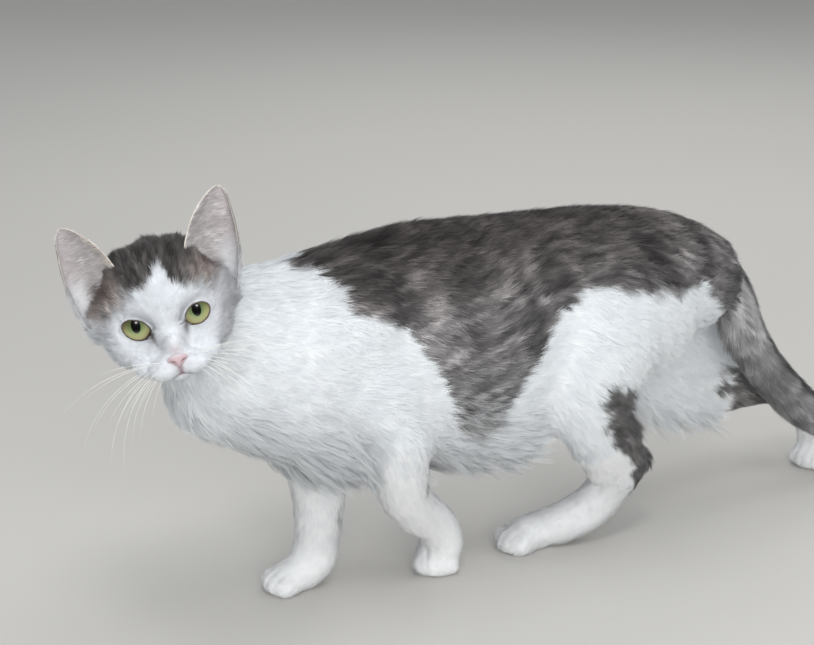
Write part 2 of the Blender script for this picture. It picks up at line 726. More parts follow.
def body_markings(place, normals, name_of):
    """The dark colour of the trunk, tail and legs at each place, and how grey it is there."""
    lain = along_body(place)
    x, y, z = place.T
    tail = np.isin(name_of, TAIL)
    on_trunk = np.isin(name_of, TRUNK)
    ragged = (mottle(lain, (0.016, 0.006, 0.0042), 3) - 0.5) * 0.013
    ragged = ragged + (mottle(lain, (0.03, 0.03, 0.014), 5) - 0.5) * 0.007
    behind_neck = ease(x, 0.0, 0.05)
    left_edge = np.interp(x, *SADDLE.T)
    right_edge = np.interp(x - 0.012 * behind_neck, *SADDLE.T)
    right_edge = right_edge + (0.010 + 0.008 * np.sin(x * 38)) * behind_neck
    saddle = ease(z - np.where(y < 0.0, left_edge, right_edge) + ragged, -0.0030, 0.0030)
    grey = np.where(tail, 1.0, np.where(on_trunk, saddle, 0.0))

    # Dark along the back and paler below, with broken upright bands, pale blotches and fine ticking.
    warp = (mottle(place, (0.022, 0.05, 0.022), 8) - 0.5) * 0.016
    bands = mottle(np.stack([x + warp + 0.25 * (z - 0.2), y, z], 1), (0.0100, 0.04, 0.034), 11) - 0.5
    blotch = mottle(place + warp[:, None], (0.016, 0.03, 0.014), 12) - 0.5
    strokes = mottle(lain, (0.0170, 0.005, 0.0023), 13) + mottle(lain, (0.0095, 0.003, 0.0012), 14) - 1.0
    thin = (1 - ease(z, 0.112, 0.155)) * np.clip(0.5 + 2.4 * strokes, 0, 1)
    grey = np.where(on_trunk, grey * (1 - 0.42 * thin), grey)
    height = np.clip((z - 0.105) / 0.135, 0, 1)
    depth_of_grey = np.exp(np.interp(height, GREY_TONE[:, 0], np.log(GREY_TONE[:, 1])))
    flank = np.sin(math.pi * height) ** 0.7
    tone = depth_of_grey * np.exp((0.5 + 0.9 * flank) * bands + (0.3 + 0.6 * flank) * blotch + 1.20 * strokes)
    warmths = ((1, 1, 1), (1, 0.945, 0.875), (1.01, 0.95, 0.83))
    colour = np.stack([np.interp(height, (0, 0.60, 1.0), channel) for channel in warmths], 1) * tone[:, None]

    # The tail: a dark line along its upper side, faint rings, and a pale underside.
    upper = ease(normals[:, 2] * 0.62 + normals[:, 0] * 0.78, 0.40, 0.85)
    ring = 0.5 + 0.5 * np.sin((z - 0.7 * x) * 230 + 4 * mottle(place, (0.02, 0.02, 0.02), 21))
    root_of_tail = ease(z, 0.09, 0.15)
    darker = -1.60 * upper - 0.40 * ring * (1 - root_of_tail * 0.7) + 0.60 * strokes + 0.3 * blotch
    tail_tone = (0.29 + 0.20 * root_of_tail) * np.exp(darker)
    tail_colour = np.array((1.0, 0.985, 1.0)) * tail_tone[:, None]
    colour = towards(colour, tail_colour, tail * (1 - ease(z, 0.176, 0.206)))

    # Dark patches behind both hocks, and small dark flecks inside the wrists.
    fleck = (mottle(lain, (0.012, 0.008, 0.0034), 31) - 0.5) * 0.014
    patch = ease(x - np.interp(z, *HOCK.T) + fleck, -0.003, 0.004) * ease(z + 0.8 * fleck, 0.034, 0.040)
    patch = patch * (1 - ease(z - 0.128 + 0.35 * (x - 0.19) + 0.4 * fleck, -0.003, 0.005))
    patch = patch * np.isin(name_of, ("thigh_left", "shank_left", "foot_left")) * (x < 0.262)
    far = ease(x - 0.354 + fleck * 1.5 + 0.25 * (z - 0.07), -0.002, 0.004) * ease(z + fleck, 0.043, 0.050)
    far = far * (1 - ease(z - 0.090 + fleck, -0.003, 0.003))
    far = far * np.isin(name_of, ("thigh_right", "shank_right", "foot_right"))
    for centre, size, seed in WRIST_FLECKS:
        away = np.linalg.norm((place - np.array(centre)) / np.array((0.55, 1.4, 1.25)), axis=1) / size
        flecked = ease(mottle(place, (0.006, 0.006, 0.0022), seed) - away * 0.75, -0.10, 0.25)
        patch = np.maximum(patch, 0.65 * flecked)
    patch = np.maximum(patch, far)
    patch_tone = np.where(y < 0, 0.13, 0.18) * np.exp(1.2 * strokes + 0.9 * blotch)
    colour = towards(colour, GREY * patch_tone[:, None], patch * (1 - grey))
    return colour, np.maximum(grey, patch)


def cap_markings(local, ear_part):
    """The colour of the cap and the ears' backs, brown-grey before the ears, and how grey the head is."""
    hx, hy, hz = local.T
    over_edge = hz - np.interp(hx, *CAP.T)
    ruffled = (mottle(local, (0.0030, 0.02, 0.008), 51) - 0.5) * 0.0050
    fading = 0.0022 + 0.0045 * ease(np.abs(hx - 0.003), 0.012, 0.024)
    cap = ease((over_edge + ruffled + np.clip(hy - 0.02, 0, 1) * 0.25) / fading, -1.0, 1.2)
    cap = cap * (1 - ease(hy + 1.6 * ruffled + 0.5 * np.abs(hx), 0.054, 0.064))
    line = 0.5 * mottle(local, (0.0019, 0.03, 0.008), 52)
    line = line + 0.5 * mottle(local, (0.0010, 0.02, 0.005), 53) - 0.5
    browned = ease(np.abs(hx), 0.013, 0.026) * (1 - ease(hz, 0.026, 0.044)) * (1 - ease(hy, 0.016, 0.030))
    browned = browned * np.where(ear_part == 1, 0.3, 1.0)
    low_brown = browned * (1 - ease(over_edge, 0.002, 0.012))
    cap_tone = (0.066 + 0.090 * browned + 0.16 * low_brown) * np.exp((3.0 - 1.4 * browned) * line)
    colour = towards(GREY, BROWN, browned) * np.array((1.05, 1.0, 0.98)) * cap_tone[:, None]
    return colour, np.where(ear_part == 1, ease(hz + 0.5 * ruffled, 0.008, 0.024), cap)


def face_planes(colour, local, front):
    """A colour, duller before the ears, on the sides of the face, by the nose and under the muzzle."""
    hx, hy, hz = local.T
    fold = bell(np.abs(hx) - 0.0365, 0.0020) * ease(hz, -0.010, 0.0) * (1 - ease(hz, 0.012, 0.022))
    colour = colour * (1 - np.where(hx > 0, 0.24, 0.16) * fold * front)[:, None]
    side_plane = ease(np.abs(hx), np.where(hx > 0, 0.017, 0.022), np.where(hx > 0, 0.031, 0.036))
    side_plane = side_plane * (1 - ease(hz, 0.014, 0.026)) * ease(hz, -0.030, -0.012)
    beside_nose = bell(np.abs(hx) - 0.0085, 0.0035) * bell(hz + 0.008, 0.0075)
    under_muzzle = ease(-hz, 0.0250, 0.0330) * (hy < 0.0)
    duller = np.where(hx > 0, 0.27, 0.0) * side_plane + 0.15 * beside_nose + 0.16 * under_muzzle
    return colour * (1 - (duller * front)[:, None] * np.array((0.95, 1.0, 1.0)))


def face_details(colour, local, face):
    """A colour with dark lids, brown tear lines, a flushed nose, whisker roots, the cleft and the lips."""
    hx, hy, hz = local.T
    stain = np.zeros(len(local))
    round_eyes = 1 - ease(np.minimum(almond(local, -1), almond(local, 1)), 1.3, 2.6)
    colour = colour * (1 - 0.09 * round_eyes * face)[:, None]
    for side in (-1, 1):
        wide, _, slant = LIDS[side]
        stain = np.maximum(stain, 0.80 * (1 - ease(almond(local, side), 0.98, 1.08)))
        corner_x = side * (0.0173 - 0.5 * wide * math.cos(slant))
        corner_z = -0.5 * wide * math.sin(slant)
        drop = np.clip((corner_z - hz) / 0.0075, 0, 1)
        across = hx - corner_x + side * 0.0016 * drop
        tear = 0.95 * bell(across, 0.0016 - 0.0007 * drop) * (1 - drop) ** 0.7 * (hz < corner_z + 0.0010)
        stain = np.maximum(stain, tear)
    colour = towards(colour, (0.085, 0.055, 0.048), stain * face)
    flush = bell(distance(local, (0, -0.0225, -0.0160)), 0.0048) * 0.30
    colour = towards(colour, (0.66, 0.44, 0.42), flush * face)
    roots = np.zeros(len(local))
    for side, row, column in itertools.product((-1, 1), range(4), range(4)):
        roots = np.maximum(roots, bell(distance(local, whisker_root(side, row, column)), 0.0008))
    colour = colour * (1 - 0.30 * roots * face)[:, None]
    cleft = bell(hx, 0.0015) * ease(-hz, 0.0225, 0.0240) * (1 - ease(-hz, 0.0280, 0.0300)) * (hy < -0.010)
    colour = towards(colour, (0.52, 0.34, 0.39), 0.75 * cleft * face)
    spot = bell(distance(local, (-0.0120, -0.0220, -0.0212)), 0.0010) * 0.6
    lips = mouth_groove(local) * (0.52 + 0.34 * bell(distance(local[:, [0, 2]], (0, -0.0283)), 0.0022))
    return towards(colour, (0.13, 0.075, 0.095), np.maximum(spot, lips) * face)


def ear_details(colour, local, head, ear_part):
    """A colour with the bare insides of the ears, dark and reddish in the opening, and their pale rims."""
    combed = 0.25 * (mottle(local, (0.006, 0.006, 0.006), 61) - 0.5)
    combed = combed + 0.30 * (mottle(local, (0.012, 0.012, 0.0010), 62) - 0.5)
    pink = np.array((0.43, 0.385, 0.395)) * (1 + combed)[:, None]
    colour = np.where((ear_part == 2)[:, None], pink, colour)
    colour = np.where((ear_part == 3)[:, None], np.array((0.80, 0.73, 0.66)), colour)
    low_edge = ease(np.abs(local[:, 0]), 0.0330, 0.0410) * (1 - ease(local[:, 2], 0.022, 0.040))
    colour = towards(colour, (0.76, 0.77, 0.80), low_edge * (ear_part > 1))
    depth = np.where(ear_part == 2, 1.0, 0.55 * (head & (ear_part == 0)))
    return towards(colour, (0.060, 0.026, 0.024), np.clip(1.25 * hollow_of_ear(local), 0, 0.95) * depth)


def markings(points, normals, label, ear_part):
    """The coat's colour at each place, and how grey it is."""
    name_of = np.array(FLESH)[label]
    head = (label == head_label) | (ear_part > 0)
    place = points - START
    local = in_head(points)
    body_colour, body_grey = body_markings(place, normals, name_of)
    cap_colour, cap_grey = cap_markings(local, ear_part)
    grey = np.where(head, cap_grey, body_grey)
    white = towards(WHITE, FACE_WHITE, head & (local[:, 1] < 0.035))
    upward = ease(normals[:, 2], 0.15, 0.75)[:, None] * ~head[:, None]
    under_chest = ease(-normals[:, 2], 0.05, 0.70) * (name_of == "chest")
    white = white * (1 - 0.10 * upward) * (1 - 0.13 * under_chest)[:, None]
    on_leg = np.isin(name_of, LEGS) & ~head
    white = towards(white, LEG_WHITE, on_leg * (1 - ease(place[:, 2], 0.07, 0.12)))
    colour = towards(white, np.where(head[:, None], cap_colour, body_colour), grey)
    bare_head = head & (ear_part == 0)
    colour = face_planes(colour, local, bare_head & (local[:, 1] < 0.030))
    colour = face_details(colour, local, bare_head & (local[:, 1] < 0.008))
    return ear_details(colour, local, head, ear_part), grey


# How the coat lies on each part: the way that it flows, its tufts' length and width and their lift in
# degrees, how many grow on a square millimetre, and how strongly they gather into locks.
COAT = {
    "head": ((0, 0, 0), 4.0, 0.22, 16, 4.6, 0.12),
    "neck": ((0.80, 0.0, -0.50), 10.0, 0.28, 11, 1.8, 0.16),
    "chest": ((0.93, 0.0, -0.28), 11.5, 0.29, 10, 1.72, 0.16),
    "abdomen": ((0.93, 0.0, 0.22), 11.0, 0.29, 10, 1.72, 0.16),
    "rump": ((0.98, 0.0, -0.12), 10.5, 0.29, 10, 1.60, 0.20),
    "thigh_left": ((0.80, 0.0, -0.58), 11.0, 0.28, 11, 1.75, 0.22),
    "thigh_right": ((0.84, 0.0, -0.54), 12.0, 0.28, 15, 1.55, 0.25),
    "shank_left": ((0.60, 0.0, -0.80), 7.5, 0.26, 16, 2.1, 0.22),
    "shank_right": ((0.96, 0.0, -0.25), 7.5, 0.26, 16, 2.0, 0.22),
    "foot_left": ((-0.80, 0.20, -0.55), 5.0, 0.24, 19, 2.4, 0.20),
    "foot_right": ((0.10, 0.0, -1.0), 3.4, 0.22, 11, 2.6, 0.10),
    "foreleg_left": ((0.42, 0.0, -0.90), 7.4, 0.26, 20, 2.1, 0.26),
    "foreleg_right": ((0.05, 0.0, -1.0), 7.4, 0.26, 21, 2.1, 0.26),
    "paw_left": ((0.10, -0.35, -0.90), 3.5, 0.22, 15, 3.0, 0.10),
    "paw_right": ((-0.62, 0.0, -0.78), 3.5, 0.22, 15, 3.0, 0.10),
    "tail_base": ((0.42, 0.0, -0.90), 11.5, 0.30, 17, 1.8, 0.22),
    "tail_middle": ((0.66, 0.0, -0.75), 11.5, 0.30, 17, 1.8, 0.22),
    "tail_tip": ((0.90, 0.0, -0.40), 10.5, 0.28, 18, 2.0, 0.25),
}

points = points_of(skin)
normals = normals_of(skin)
edges = edges_of(skin)
label = np.concatenate([label[:body_count], np.full(len(points) - body_count, head_label)])
toe_shade = np.concatenate([toe_shade, np.zeros(len(points) - body_count)])
# On an ear: 1 is its furred back, 2 its bare inside, 3 its rim. Its points run by ear, shell, row and column.
EAR_GRID = (2, 2, EAR_ROWS + 1, EAR_COLUMNS + 1)
on_grid = np.ones(EAR_GRID, int)
on_grid[:, 1] = 2
on_grid[:, :, -1] = 3
on_grid[..., 0] = 3
on_grid[..., -1] = 3
up_grid = np.broadcast_to((np.arange(EAR_ROWS + 1) / EAR_ROWS)[:, None], EAR_GRID)
round_grid = np.broadcast_to(np.arange(EAR_COLUMNS + 1) / EAR_COLUMNS, EAR_GRID)
ear_part = np.concatenate([np.zeros(body_count, int), on_grid.ravel()])
up_ear = np.concatenate([np.zeros(body_count), up_grid.ravel()])
round_ear = np.concatenate([np.zeros(body_count), round_grid.ravel()])
skin_colour, _ = markings(points, normals, label, ear_part)
local = in_head(points)


def store_colour(mesh, name, colour):
    attribute = mesh.attributes.new(name, "FLOAT_COLOR", "POINT")
    flat = np.ones((len(colour), 4), np.float32)
    flat[:, :3] = np.clip(colour, 0.005, 0.95)
    attribute.data.foreach_set("color", flat.ravel())


near_rim = np.maximum(ease(np.abs(round_ear - 0.5), 0.42, 0.49), ease(up_ear, 0.90, 0.98))
near_rim = near_rim * (ear_part == 1)
skin_colour = towards(skin_colour, (0.72, 0.66, 0.60), near_rim)
skin_colour = skin_colour * np.where(ear_part > 1, 1.0, 0.92)[:, None] * (1 - 0.12 * toe_shade)[:, None]
store_colour(skin.data, "coat_colour", skin_colour)
skin_material, shader, nodes = new_material("skin_and_down", 0.75)
hide = nodes.out("ShaderNodeAttribute", {"attribute_name": "coat_colour"})
feed(shader, "Base Color", hide)
pores = nodes.noise(900.0, Detail=2.0)
feed(shader, "Normal", nodes.out("ShaderNodeBump", Height=pores, Strength=0.35, Distance=0.0004))
skin.data.materials.clear()
skin.data.materials.append(skin_material)
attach(skin, "root")
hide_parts(*FLESH, "ear_left", "ear_right")

# ---------------------------------------------------------------- the lie of the coat
# The flow runs from the nose back over the head and down the body to the tail and toes, evened over the skin.

names = np.array(FLESH)[label]
flow = np.array([COAT[name][0] for name in names], float)
from_nose = local - np.array((0.0, -0.034, -0.012))
from_nose[:, 0] *= 1.25
from_nose /= np.linalg.norm(from_nose, axis=1)[:, None]
head_turn = np.array(HEAD)[:3, :3]
flow = np.where((label == head_label)[:, None], from_nose @ head_turn.T, flow)
for number, (ear, shell, row, column) in enumerate(np.ndindex(*EAR_GRID)):
    side = (1, -1)[ear]
    up = min((row / EAR_ROWS) ** 0.9, 0.97)
    round_ = min(column / EAR_COLUMNS, 0.97)
    here = ear_spot(side, up, round_, 0)
    rise = (ear_spot(side, up + 0.03, round_, 0) - here).normalized()
    lean = (ear_spot(side, up, round_ + 0.03, 0) - here).normalized()
    way = rise * 0.45 + lean if shell else rise
    flow[body_count + number] = head_turn @ np.array(way.normalized())
flow = flow - normals * np.sum(flow * normals, axis=1)[:, None]
body_flow = spread(flow, edges, 30)
flow = np.where((ear_part > 0)[:, None], spread(flow, edges, 2), body_flow)
# Soft swirls, as in any living coat.
swirl = np.radians(26) * (mottle(points, (0.030, 0.030, 0.022), 71) - 0.5)
swirl = swirl + np.radians(18) * (mottle(points, (0.011, 0.011, 0.011), 72) - 0.5)
swirl = np.where(label == head_label, 0.35 * swirl, swirl)
flow = flow - normals * np.sum(flow * normals, axis=1)[:, None]
flow /= np.maximum(np.linalg.norm(flow, axis=1), 1e-6)[:, None]
flow = flow * np.cos(swirl)[:, None] + np.cross(normals, flow) * np.sin(swirl)[:, None]
columns = np.array([COAT[name][1:] for name in names], float)
columns = spread(columns, edges, 16)
topline = spread(ease(normals[:, 2], 0.55, 0.95) * np.isin(names, ("chest", "abdomen", "rump")), edges, 10)
columns[:, 2] += 9 * topline
columns[:, 0] *= 1 + 0.12 * topline
length, width, lift, density, gather = columns.T
length = length / 1000
width = width / 1000
place = points - START

# The coat is shortest on the nose and round the eyes, and longest on ruff and belly and behind the thighs.
face = (label == head_label) & (ear_part == 0)
from_tip = np.linalg.norm(local - np.array((0.0, -0.022, -0.018)), axis=1)
length = np.where(face, 0.0015 + 0.0050 * ease(from_tip, 0.008, 0.050), length)
cheek = ease(np.abs(local[:, 0]), 0.022, 0.036) * ease(0.008 - local[:, 2], -0.004, 0.010) * face
temple = ease(np.abs(local[:, 0]), 0.026, 0.034) * ease(local[:, 2], 0.006, 0.014) * face
crown = ease(local[:, 2], 0.024, 0.036) * face
length = length * (1 + 0.8 * cheek + 0.6 * temple + 0.25 * crown)
for side in (-1, 1):
    out = almond(local, side)
    in_front = local[:, 1] < 0.010
    short = np.minimum(length, 0.0011 + 0.0013 * np.clip(out - 1, 0, 1))
    length = np.where(face & in_front & (out < 2.0), short, length)


def on(*wanted):
    return np.isin(names, wanted)


def by_ear_part(back, inside, rim, elsewhere):
    """A value for the furred backs of the ears, their bare insides and their rims, and one for the rest."""
    return np.select([ear_part == 1, ear_part == 2, ear_part == 3], [back, inside, rim], elsewhere)


under = ease(-normals[:, 2], 0.05, 0.60) * on(*TRUNK)
behind = ease(normals[:, 0], 0.35, 0.85) * on("thigh_left", "thigh_right", "shank_left")
ruff = ease(0.16 - place[:, 2], -0.02, 0.05) * ease(-0.01 - place[:, 0], -0.02, 0.04) * on("neck", "chest")
shaggy = np.clip(under + 0.7 * behind + 0.8 * ruff, 0, 1.3)
fringe = ease(-normals[:, 2], 0.25, 0.75) * on("chest", "abdomen", "thigh_right") * (place[:, 0] > -0.02)
on_tail = on("tail_base", "tail_middle") * ease(place[:, 2], 0.10, 0.14)
tail_front = ease(-normals[:, 0], 0.2, 0.8) * on_tail
over_hock = ease(normals[:, 0], 0.30, 0.80) * on("thigh_left", "shank_left")
over_hock = over_hock * ease(place[:, 2], 0.075, 0.090) * (1 - ease(place[:, 2], 0.125, 0.150))
length = length * (1 + 0.35 * shaggy + 0.80 * fringe + 0.45 * tail_front + 0.55 * over_hock)
lift = lift + 10 * shaggy + 26 * fringe + 14 * tail_front + 16 * over_hock
gather = gather + 0.22 * shaggy + 0.40 * fringe
length = by_ear_part(0.0026, 0.0085, 0.0020, length)
width = np.where(ear_part > 0, 0.00013, np.where(face, 0.00016 + 0.00008 * ease(from_tip, 0.02, 0.06), width))
lift = by_ear_part(9.0, 11.0, 9.0, lift)
lift = np.where(face, 10.0 + 9 * ease(from_tip, 0.02, 0.06) + 9 * cheek + 14 * temple + 10 * crown, lift)
density = by_ear_part(5.2, 2.2, 9.0, density)
density = np.where(face, 7.6 - 4.0 * ease(from_tip, 0.015, 0.050), density)
gather = np.where(ear_part > 0, 0.05, gather)
bare = np.zeros(len(points), bool)
for side in (-1, 1):
    bare |= face & (local[:, 1] < 0.004) & (almond(local, side) < 1.04)
from_pad = (local - np.array((0, -0.0215, -0.0210))) / np.array((0.0046, 0.0075, 0.0030))
bare |= face & (np.linalg.norm(from_pad, axis=1) < 1)
bare |= face & (mouth_groove(local) > 0.45)
bare |= (ear_part > 0) & (up_ear > 0.97)
bare |= (ear_part == 1) & ((np.abs(round_ear - 0.5) > 0.42) | (up_ear > 0.90))
bare |= place[:, 2] < 0.0022
density = np.where(bare, 0.0, density)
# Inside an ear the hairs spring from its front edge and thin out towards the back one.
tufted = ease(round_ear, 0.45, 0.85) * (1 - ease(up_ear, 0.25, 0.50)) * (ear_part == 2)
low_rim = ease(np.abs(local[:, 0]), 0.0340, 0.0400) * (1 - ease(local[:, 2], 0.018, 0.036)) * (ear_part == 3)
length = length + 0.0042 * low_rim
lift = lift + 20 * low_rim
density = np.where(ear_part == 2, density * (1.30 - 1.0 * round_ear) + 5.0 * tufted, density)
inside_length = length * (1.25 - 0.75 * round_ear) * (1 - 0.4 * up_ear) + 0.004 * tufted
length = np.where(ear_part == 2, inside_length, length)

# ---------------------------------------------------------------- the coat
# Thousands of thin tapering tufts, each rooted in the skin and lying with the coat, gathered into soft locks.
# A tuft is one narrow blade of hair, bent along the body and drawn to a point.

triangle_count = len(skin.data.polygons)
corners = np.empty(triangle_count * 3, np.int32)
skin.data.polygons.foreach_get("vertices", corners)
corners = corners.reshape(-1, 3)
unwrap = np.empty(triangle_count * 6, np.float32)
skin.data.uv_layers["OFBake"].data.foreach_get("uv", unwrap)
unwrap = unwrap.reshape(-1, 3, 2)
side_a = points[corners[:, 1]] - points[corners[:, 0]]
side_b = points[corners[:, 2]] - points[corners[:, 0]]
area = 0.5 * np.linalg.norm(np.cross(side_a, side_b), axis=1) * 1e6

coat_material, shader, nodes = new_material(
    "fur", 0.70, Specular_IOR_Level=0.3, Sheen_Weight=0.10, Sheen_Roughness=0.5
)
hair = nodes.out("ShaderNodeAttribute", {"attribute_name": "coat_colour"})
feed(shader, "Base Color", hair)

TUFT_PATCH = 0.003
# Half the width of a tuft, and how bright it is, at its root and at its bend. Its tip is a point.
TUFT_HALVES = (0.5, 0.46)
TUFT_FADES = (0.86, 0.97)
BENDS = len(TUFT_HALVES)
FLOOR_CLEARANCE = 0.0002
MOTTLED_LIMBS = ("foreleg_left", "foreleg_right", "shank_left", "foot_left", "foot_right")
limb_labels = [FLESH.index(name) for name in MOTTLED_LIMBS]
LOCK_SIZE = 22


def unit(vectors):
    return vectors / np.maximum(np.linalg.norm(vectors, axis=1), 1e-9)[:, None]


def grow(name, chosen, seed):
    """One piece of the coat, on the chosen triangles of the skin."""
    rng = np.random.default_rng(seed)
    expected = area[chosen] * density[corners[chosen]].mean(1)
    count = int(expected.sum())
    pick = chosen[rng.choice(len(chosen), count, p=expected / expected.sum())]
    a, b = rng.random(count), rng.random(count)
    flip = a + b > 1
    a, b = np.where(flip, 1 - a, a), np.where(flip, 1 - b, b)
    share = np.stack([1 - a - b, a, b], 1)

    def here(values):
        return np.einsum("ij,ij...->i...", share, values[corners[pick]])

    root, normal, way = here(points), unit(here(normals)), here(flow)
    way = unit(way - normal * np.sum(way * normal, axis=1)[:, None])
    long, wide, rise, pull = here(length), here(width), np.radians(here(lift)), here(gather)
    part = ear_part[corners[pick, 0]]
    colour, grey = markings(root + way * (0.4 * long)[:, None], normal, label[corners[pick, 0]], part)
    inside = part == 2
    across, _, above = in_head(root).T
    deep = hollow_of_ear(in_head(root))
    whitened = here(tufted)
    low_out = ease(np.abs(across), 0.033, 0.041) * (1 - ease(above, 0.022, 0.040))
    whitened = np.maximum(whitened, low_out)
    pale = np.array((1.0, 0.955, 0.945)) + whitened[:, None] * np.array((0.0, 0.045, 0.065))
    pale = (0.60 + 0.20 * whitened)[:, None] * pale
    pale = pale * rng.uniform(0.85, 1.12, (count, 1)) * (1 - 0.5 * deep)[:, None]
    colour = np.where(inside[:, None], pale, colour)
    spot = np.einsum("ij,ijk->ik", share, unwrap[pick])

    # Locks: each tuft leans towards the middle one of its lock, and shares its way, length and shade.
    leaders = rng.choice(count, max(count // LOCK_SIZE, 1), replace=False)
    tree = KDTree(len(leaders))
    for k, leader in enumerate(leaders):
        tree.insert(root[leader], k)
    tree.balance()
    lock = np.array([tree.find(spot3)[1] for spot3 in root])
    lead = leaders[lock]
    lock_swing = rng.normal(0, 0.13, len(leaders))[lock]
    lock_length = rng.uniform(0.85, 1.18, len(leaders))[lock]
    lock_shade = rng.normal(0, 1.0, len(leaders))[lock]
    lock_wave = rng.uniform(0, math.tau, len(leaders))[lock]
    swing = lock_swing + rng.normal(0, 0.12, count)
    beside = np.cross(normal, way)
    way = unit(way * np.cos(swing)[:, None] + beside * np.sin(swing)[:, None])
    beside = np.cross(normal, way)
    long = long * lock_length * rng.uniform(0.70, 1.15, count)
    rise = rise * rng.uniform(0.5, 1.3, count)
    roll = rng.normal(0, 0.35, count)
    flat = unit(beside * np.cos(roll)[:, None] + normal * np.sin(roll)[:, None])

    def reach(t):
        """The middle of every tuft at a share of its length."""
        ahead = long * t * (1 - 0.08 * t)
        up = long * np.sin(rise) * (t - 0.45 * t * t) * 1.35
        wave = long * 0.04 * np.sin(lock_wave + 4.2 * t) * t
        return root + way * ahead[:, None] + normal * up[:, None] + beside * wave[:, None]

    tip = reach(1.0)
    draw = (tip[lead] - tip) * pull[:, None]
    draw = draw * np.minimum(1, 0.5 * long / np.maximum(np.linalg.norm(draw, axis=1), 1e-9))[:, None]
    ranks = []
    for k in range(BENDS):
        t = k / BENDS * 0.92
        middle = reach(t) + draw * t ** 1.6
        half = flat * (wide * TUFT_HALVES[k])[:, None]
        if k == 0:
            middle = middle - normal * 0.0003
        ranks.append(middle - half)
        ranks.append(middle + half)
    ranks.append(tip + draw)
    made = np.stack(ranks, 1)
    made[:, :, 2] = np.maximum(made[:, :, 2], FLOOR_CLEARANCE)
    steps = made.shape[1]

    mesh = bpy.data.meshes.new(name)
    mesh.vertices.add(count * steps)
    mesh.vertices.foreach_set("co", made.astype(np.float32).ravel())
    faces = [(2 * k + 1, 2 * k, 2 * k + 2, 2 * k + 3) for k in range(BENDS - 1)]
    loop = np.array([v for quad in faces for v in quad] + [2 * BENDS - 1, 2 * BENDS - 2, 2 * BENDS], np.int32)
    loops = (loop[None, :] + (np.arange(count, dtype=np.int32) * steps)[:, None]).ravel()
    mesh.loops.add(len(loops))
    mesh.loops.foreach_set("vertex_index", loops)
    totals = np.tile(np.array([4] * (BENDS - 1) + [3], np.int32), count)
    starts = np.concatenate([[0], np.cumsum(totals)[:-1]]).astype(np.int32)
    mesh.polygons.add(len(totals))
    mesh.polygons.foreach_set("loop_start", starts)
    mesh.polygons.foreach_set("loop_total", totals)
    mesh.polygons.foreach_set("use_smooth", np.ones(len(totals), bool))
    mesh.update(calc_edges=True)

    # The light falls on a tuft as on the body under it, a little to the side that it rolls to.
    sheen = unit(normal + beside * (-0.10 * np.sin(roll) + 0.03 * lock_shade)[:, None] - way * 0.10)
    facing_out = mesh.attributes.new("custom_normal", "FLOAT_VECTOR", "POINT")
    facing_out.data.foreach_set("vector", np.repeat(sheen, steps, axis=0).astype(np.float32).ravel())
    mesh.update()

    # Colour: hair is darker at the root, and grey hairs are ticked, some paler at the tip.
    on_head = label[corners[pick, 0]] == head_label
    on_limb = np.isin(label[corners[pick, 0]], limb_labels)
    uneven = (0.028 + 0.024 * on_head + 0.020 * on_limb) * lock_shade
    uneven = uneven + (0.020 + 0.020 * on_head) * rng.normal(0, 1, count)
    shade = np.exp(uneven + grey * (0.09 * lock_shade + rng.normal(0, 0.13, count)))
    ticked = (rng.random(count) < 0.18) * grey
    hues = []
    for k in range(BENDS):
        hues += [colour * (shade * (1 - (1 - TUFT_FADES[k]) * (0.35 + 0.65 * grey)))[:, None]] * 2
    hues.append(colour * (shade * (1 + 0.10 * grey + 0.7 * ticked))[:, None])
    store_colour(mesh, "coat_colour", np.stack(hues, 1).reshape(-1, 3))

    # Each tuft's own small patch of the unwrap, at its root's place.
    across = np.array([v for k in range(BENDS) for v in (-0.5, 0.5)] + [0.0])
    along = np.array([v for k in range(BENDS) for v in (k / BENDS, k / BENDS)] + [1.0]) - 0.5
    patch = spot[:, None, :] + TUFT_PATCH * np.stack([across, along], 1)[None]
    uv = np.clip(patch.reshape(-1, 2), 0.0005, 0.9995)
    layer = mesh.uv_layers.new(name="OFBake")
    layer.data.foreach_set("uv", uv[loops].astype(np.float32).ravel())
    mesh.materials.append(coat_material)
    piece = bpy.data.objects.new(name, mesh)
    bpy.context.collection.objects.link(piece)
    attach(piece, "root")


face_label = label[corners[:, 0]]
on_ear = ear_part[corners].max(1) > 0
left_side = (points[corners].mean(1) - START)[:, 1] < 0
before_ears = local[corners].mean(1)[:, 1] < 0.012


def part_faces(*wanted):
    return np.isin(face_label, [FLESH.index(name) for name in wanted]) & ~on_ear


for name, mask, seed, slot in (
    ("coat_face", part_faces("head") & before_ears, 101, "white_coat"),
    ("coat_crown", part_faces("head") & ~before_ears, 113, "white_coat"),
    ("coat_ears", on_ear, 102, "ear_skin"),
    ("coat_neck", part_faces("neck"), 103, "white_coat"),
    ("coat_chest_left", part_faces("chest") & left_side, 104, "white_coat"),
    ("coat_chest_right", part_faces("chest") & ~left_side, 105, "white_coat"),
    ("coat_abdomen", part_faces("abdomen"), 106, "tabby_coat"),
    ("coat_rump", part_faces("rump"), 107, "tabby_coat"),
    ("coat_thigh_left", part_faces("thigh_left"), 108, "white_coat"),
    ("coat_thigh_right", part_faces("thigh_right"), 109, "white_coat"),
    ("coat_hind_legs", part_faces(*HIND_LEGS), 110, "white_coat"),
    ("coat_forelegs", part_faces(*FORELEGS), 111, "white_coat"),
    ("coat_tail", part_faces(*TAIL), 112, "tabby_coat"),
):
    grow(name, np.flatnonzero(mask), seed)

# ---------------------------------------------------------------- the eyes
# Wet balls with a yellow-green iris, an upright pupil and a bulging clear front, looking above the viewer.

